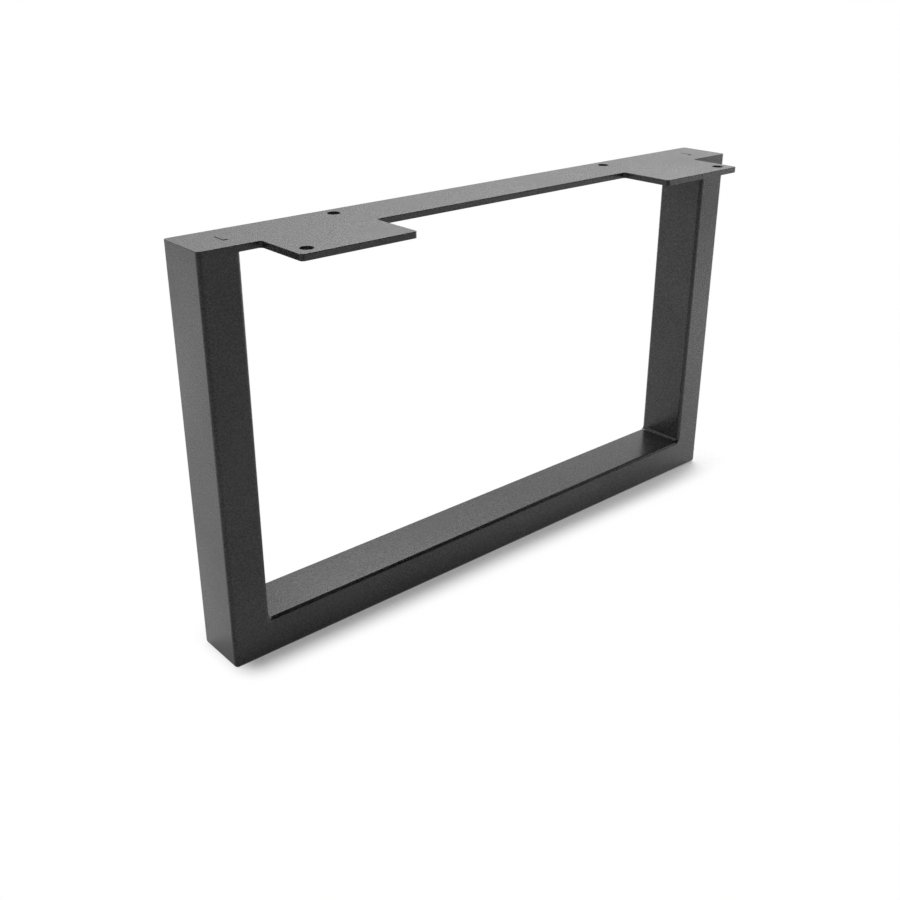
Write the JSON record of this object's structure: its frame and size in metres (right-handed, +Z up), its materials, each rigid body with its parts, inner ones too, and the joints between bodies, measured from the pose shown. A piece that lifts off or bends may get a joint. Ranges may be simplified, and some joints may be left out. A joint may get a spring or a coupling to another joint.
{
  "type": "furniture leg",
  "caption": "U-shaped table or bench leg of mitred rectangular steel tube, with a flat top plate whose tabs screw to the underside of a top.",
  "frame": {"origin": "middle of the rail's underside, where the leg stands on the floor", "axes": "+X along the leg, from one upright to the other; +Z up, out of the top face of the plate; the tabs of the plate reach out to -Y"},
  "size_m": [0.7, 0.12, 0.406],
  "materials": {
    "coated_plate": "fine-texture powder coat, satin-matt dark grey",
    "coated_tube": "fine-texture powder coat, satin-matt dark grey",
    "coated_weld": "powder coat over a dressed weld bead"
  },
  "bodies": {
    "root": {"top_plate": "coated_plate", "left_upright": "coated_tube", "right_upright": "coated_tube", "bottom_rail": "coated_tube", "left_corner_weld": "coated_weld", "right_corner_weld": "coated_weld"}
  },
  "joints": []
}
